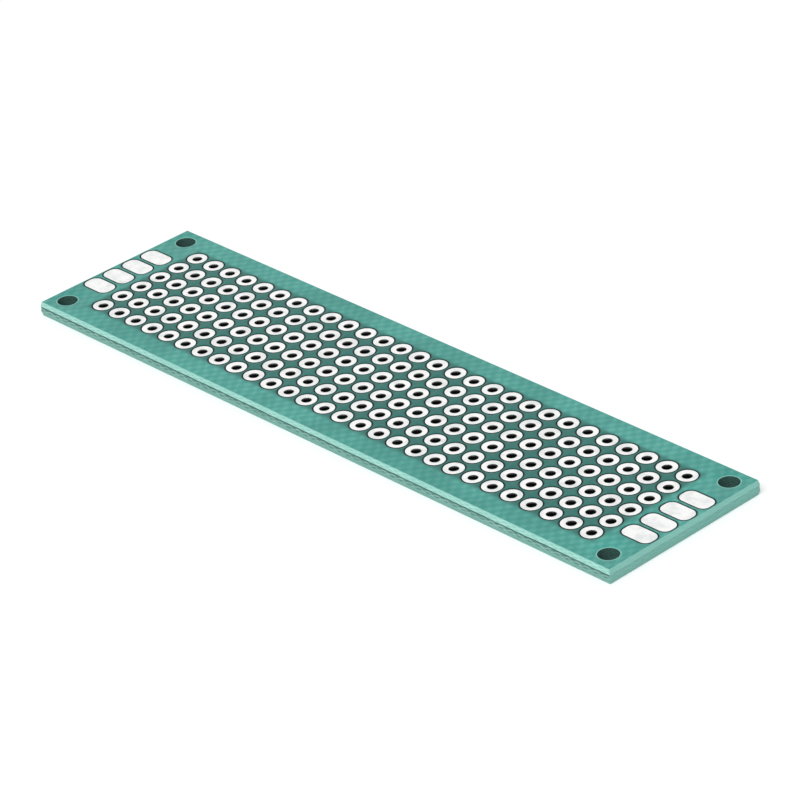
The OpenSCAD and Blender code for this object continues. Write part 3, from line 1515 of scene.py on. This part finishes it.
    def shader(self, book: NodeBook) -> Any:
        """Faces, drilled walls, bevels and web are told apart by where they lie.

        Args:
            book: the tree that it is added to.

        Returns:
            The node that ends the finish.
        """
        s = self.sizes
        point, x, y, z = book.place()
        off_x, off_y = x.abs() - s.length / 2, y.abs() - s.width / 2
        on_edge = off_x.larger(off_y).ramp(*self.edge_span)
        on_long = (off_y - off_x).ramp(*self.mitre_span)
        grain = self.grain.read(book, point)
        patches = self.patches.read(book, point)
        bundles, ends = self.cloth(x + y, z, self.wobble.read(book, point) - 0.5)
        cut = CutGlass(grain, patches, bundles, ends, on_long)
        up = z - s.middle
        off = up.abs()
        ragged = (grain - 0.5) * self.grain_ragged + (patches - 0.5) * self.patch_ragged
        in_web = (off + ragged).ramp(*self.web_span, s.half_web)
        side = book.blend(in_web, self.scored(book, cut, up), self.snapped(book, cut, up + ragged))
        colour = book.blend(on_edge, self.inside(book, cut, x, y, off), side)
        woven = bundles * self.relief_bundles + ends * self.relief_ends
        lift = grain * self.relief_grain + woven * on_edge
        shade = grain * self.rough_grain + self.rough
        return book.node("ShaderNodeBsdfPrincipled", None, Base_Color=colour, Roughness=shade,
                         Specular_IOR_Level=self.specular, Normal=book.bump(lift, self.relief))


@dataclass(frozen=True)
class TinFinish(Finish):
    """Hot-levelled tin: bright and cloudy on the rings, dull and with painted shade down into the holes.
    """

    bright: Colour = paint(254, 254, 253)
    cloudy: Colour = paint(226, 230, 229)
    # Painted shade: the lining's colour deep inside the holes.
    lining: Colour = paint(46, 50, 49)
    clouds: Noise = Noise(1.1 * MM, 2.0, 0.5)
    cloud_span: Span = (0.35, 0.75)
    cloud_share: float = 0.8
    grain: Noise = Noise(0.08 * MM, 3.0, 0.6)
    grain_share: float = 0.15
    lining_fade: float = 0.25 * MM
    rough: float = 0.09
    rough_clouds: float = 0.14
    rough_grain: float = 0.08
    rough_lining: float = 0.25
    relief: float = 0.01 * MM
    relief_clouds: float = 0.8

    def shader(self, book: NodeBook) -> Any:
        """Noises cloud and grain the tin, and painted shade darkens the lining down from the laminate's
        face.

        Args:
            book: the tree that it is added to.

        Returns:
            The node that ends the finish.
        """
        s = self.sizes
        point, _, _, z = book.place()
        clouds = self.clouds.read(book, point)
        grain = self.grain.read(book, point)
        # Painted shade: the lining darkens with depth below the laminate's face.
        hole_shade = (z - s.middle).abs().ramp(0.0, -self.lining_fade, s.half_core)
        dull = clouds.ramp(*self.cloud_span) * self.cloud_share + grain * self.grain_share
        colour = book.blend(hole_shade, book.blend(dull, self.bright, self.cloudy), self.lining)
        rough = clouds * self.rough_clouds + grain * self.rough_grain
        rough = rough + hole_shade * self.rough_lining + self.rough
        lift = clouds * self.relief_clouds + grain * (1 - self.relief_clouds)
        return book.node("ShaderNodeBsdfPrincipled", None, Base_Color=colour, Metallic=1.0,
                         Roughness=rough, Normal=book.bump(lift, self.relief))


def seen(book: NodeBook) -> Value:
    """Tells what is looked at from what only lights the board.

    Args:
        book: the tree that it is added to.

    Returns:
        1 for rays from the camera and for reflected and passed-through rays, else 0.
    """
    path = book.node("ShaderNodeLightPath").outputs
    camera, glossy = Value(book, path["Is Camera Ray"]), Value(book, path["Is Glossy Ray"])
    return camera.larger(glossy).larger(Value(book, path["Is Transmission Ray"]))


@dataclass(frozen=True)
class FloorPaper(Finish):
    """White paper that takes the board's shadow near the middle, and plain white further out.

    The change goes from the near radius to the far one, in metres.
    """

    white: float = 0.8
    glow: float = 0.3
    near: float = 0.055
    far: float = 0.16

    def shader(self, book: NodeBook) -> Any:
        """Where it is seen, the paper glows just enough to be white, and further out it is light.

        Args:
            book: the tree that it is added to.

        Returns:
            The node that ends the finish.
        """
        _, x, y, _ = book.place()
        looked_at = seen(book)
        paper = book.node("ShaderNodeBsdfDiffuse", None, (self.white, self.white, self.white, 1.0))
        glow = book.node("ShaderNodeEmission", None, WHITE, looked_at * self.glow)
        lit = book.node("ShaderNodeAddShader", None, paper.outputs[0], glow.outputs[0])
        light = looked_at * (1 - self.white) + self.white
        beyond = book.node("ShaderNodeEmission", None, WHITE, light)
        away = x.length(y).ramp(self.near, self.far)
        return book.node("ShaderNodeMixShader", None, away, lit.outputs[0], beyond.outputs[0])


@dataclass(frozen=True)
class Studio:
    """Pale floor, even white surround and one soft key, with the camera of the photograph."""

    sizes: BoardSizes
    azimuth: float = 48.7
    elevation: float = 29.72
    distance: float = 0.3881
    roll: float = -4.97
    lens: float = 182.0
    nearest: float = 0.01
    aim_x: float = 3.38 * MM
    aim_y: float = -0.72 * MM
    surround: float = 0.55
    horizon_dim: float = 0.6
    bright_above: float = 0.35
    key_share: float = 0.45
    key_azimuth: float = 22.0
    key_elevation: float = 50.0
    key_distance: float = 1.5
    key_size: float = 1.1
    floor_radii: tuple[float, ...] = (0.1, 0.3, 0.7, 1.5, 3.0, 5.0)
    floor_around: int = 96

    @staticmethod
    def ray(azimuth: float, elevation: float) -> Vector:
        """Unit vector from the object towards an azimuth and an elevation in degrees."""
        a, e = math.radians(azimuth), math.radians(elevation)
        return Vector((math.sin(a) * math.cos(e), -math.cos(a) * math.cos(e), math.sin(e)))

    def camera(self) -> None:
        """Sets the camera: it looks at the aim point from its ray, rolled about its own axis."""
        data = bpy.data.cameras.new("camera")
        data.lens = self.lens
        data.clip_start = self.nearest
        camera = bpy.data.objects.new("camera", data)
        back = self.ray(self.azimuth, self.elevation)
        aim = Vector((self.aim_x, self.aim_y, self.sizes.top))
        level = (-back).to_track_quat("-Z", "Y").to_matrix()
        turn = level @ Matrix.Rotation(math.radians(self.roll), 3, "Z")
        camera.matrix_world = Matrix.Translation(aim + back * self.distance) @ turn.to_4x4()
        bpy.context.scene.collection.objects.link(camera)
        bpy.context.scene.camera = camera

    def key(self) -> None:
        """Sets the key light, whose power gives a level white face its share of full light.

        A small source of power P at distance d lights a face leaning by t with P cos t / (pi d^2),
        and white then shows that over pi. Metal mirrors the white surround and not the lamp.
        """
        ray = self.ray(self.key_azimuth, self.key_elevation)
        data = bpy.data.lights.new("key", "AREA")
        data.shape = "DISK"
        data.size = self.key_size
        data.energy = self.key_share * math.pi**2 * self.key_distance**2 / ray.z
        lamp = bpy.data.objects.new("key", data)
        lamp.location = ray * self.key_distance
        lamp.rotation_mode = "QUATERNION"
        lamp.rotation_quaternion = (-ray).to_track_quat("-Z", "Y")
        lamp.visible_glossy = False
        bpy.context.scene.collection.objects.link(lamp)

    def surround_light(self) -> None:
        """Sets the world: even light on the object, and pure white wherever it is seen.

        Reflections alone find it a little greyer towards the horizon, which models the metal.
        """
        world = bpy.data.worlds.new("surround")
        world.use_nodes = True
        book = NodeBook(world.node_tree)
        glossy = Value(book, book.node("ShaderNodeLightPath").outputs["Is Glossy Ray"])
        _, _, _, up = book.place("Generated")
        dim = glossy * up.ramp(self.bright_above, 0.0) * self.horizon_dim
        strength = seen(book) * (1 - self.surround) + self.surround - dim
        glow = book.node("ShaderNodeBackground", None, WHITE, strength)
        book.node("ShaderNodeOutputWorld", None, glow.outputs[0])
        bpy.context.scene.world = world

    def floor(self) -> None:
        """Makes the floor: a disc at height 0 whose ring k of points has the k-th radius."""
        angle = full_turn(self.floor_around)
        circle = np.stack([np.cos(angle), np.sin(angle), 0 * angle], -1)
        loops = np.array(self.floor_radii)[:, None, None] * circle[None]
        shell = Shell("floor")
        shell.add(loops.reshape(-1, 3), grid_faces(len(loops), self.floor_around, wrap=True))
        shell.add(loops[0], np.arange(self.floor_around)[None])
        floor = shell.build()
        floor.data.materials.append(FloorPaper("floor_paper", self.sizes).material())

    def build(self) -> None:
        """Sets camera, lights and floor, and a plain view transform."""
        self.camera()
        self.key()
        self.surround_light()
        self.floor()
        bpy.context.scene.view_settings.view_transform = "Standard"


@dataclass(frozen=True)
class PrototypeBoard:
    """The whole board: slab, films, plated holes and edge pads."""

    sizes: BoardSizes

    def build(self) -> list[bpy.types.Object]:
        """Builds and dresses every piece in the order in which the real board gets them.

        Returns:
            The pieces.
        """
        s = self.sizes
        tin = TinFinish("levelled_tin", s)
        mask = MaskFinish("green_mask", s)
        slab = LaminateSlab(s).build(LaminateFinish("glass_fibre_cut", s))
        rows = [TinnedRow(s, row).build(tin) for row in range(s.rows)]
        pads = [
            TinnedPad(s, face, end, number).build(tin)
            for face in Face
            for end in End
            for number in range(1, s.end_pads + 1)
        ]
        films = [MaskFilm(s, face).build(mask) for face in Face]
        return [slab, *rows, *pads, *films]


def main() -> None:
    """Builds the board and its studio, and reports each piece."""
    logging.basicConfig(level=logging.INFO, format="%(name)s: %(message)s")
    sizes = BoardSizes.from_frame()
    LOG.info("sizes: %s", sizes)
    for piece in PrototypeBoard(sizes).build():
        LOG.info("%s: %d points, %s", piece.name, len(piece.data.vertices), piece.data.materials[0].name)
    studio = Studio(sizes)
    studio.build()
    LOG.info("studio: camera at azimuth %.1f, elevation %.1f", studio.azimuth, studio.elevation)


if __name__ == "__main__":
    main()
